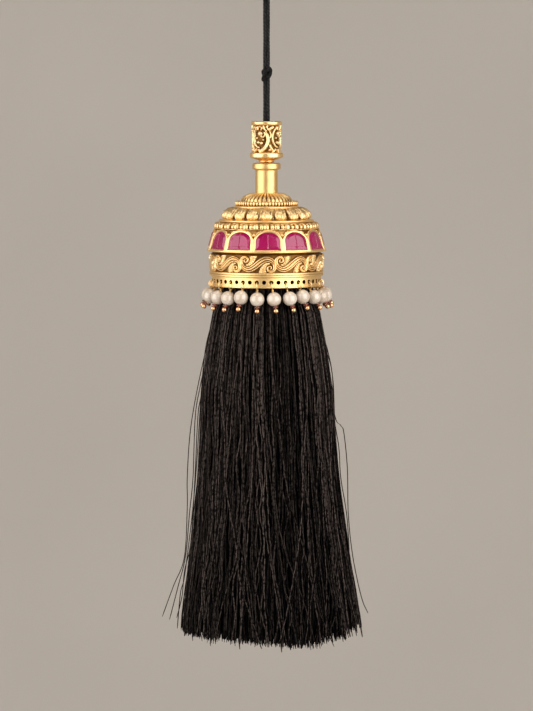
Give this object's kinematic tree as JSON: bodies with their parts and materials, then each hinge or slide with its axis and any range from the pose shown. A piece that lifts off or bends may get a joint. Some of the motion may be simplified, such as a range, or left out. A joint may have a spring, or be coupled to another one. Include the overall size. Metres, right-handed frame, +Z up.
{
  "type": "braid tassel ornament",
  "caption": "Hanging braid tassel: a gold bell cap with ruby arches, scroll band and pearl drops over a long black thread tassel, on a knotted cord with a collar bead.",
  "frame": {"origin": "the inside top of the hanging loop, where the ornament hangs from a braid or hook", "axes": "+Z up along the cord and the cap's axis; -Y towards the front of the picture; +X to its right"},
  "size_m": [0.053, 0.0531, 0.2072],
  "materials": {
    "gold": "matte antique gold plate",
    "ruby": "polished",
    "pearl": "lustrous",
    "drop_wire": "rose gold plate",
    "spacer": "polished",
    "black_cord": "twisted",
    "black_thread": "silky"
  },
  "bodies": {
    "root": {"cord": "black_cord", "cord_knot": "black_cord", "hang_loop": "black_cord", "collar": "gold", "cap": "gold", "ruby_1": "ruby", "ruby_2": "ruby", "ruby_3": "ruby", "ruby_4": "ruby", "ruby_5": "ruby", "ruby_6": "ruby", "ruby_7": "ruby", "ruby_8": "ruby", "ruby_9": "ruby", "ruby_10": "ruby", "ruby_11": "ruby", "ruby_12": "ruby", "pearl_1": "pearl", "pearl_2": "pearl", "pearl_3": "pearl", "pearl_4": "pearl", "pearl_5": "pearl", "pearl_6": "pearl", "pearl_7": "pearl", "pearl_8": "pearl", "pearl_9": "pearl", "pearl_10": "pearl", "pearl_11": "pearl", "pearl_12": "pearl", "pearl_13": "pearl", "pearl_14": "pearl", "pearl_15": "pearl", "pearl_16": "pearl", "pearl_17": "pearl", "pearl_18": "pearl", "pearl_19": "pearl", "pearl_20": "pearl", "pearl_21": "pearl", "pearl_22": "pearl", "pearl_23": "pearl", "pearl_24": "pearl", "drop_pins": "drop_wire", "spacer_beads": "spacer", "tassel": "black_thread"}
  },
  "joints": []
}
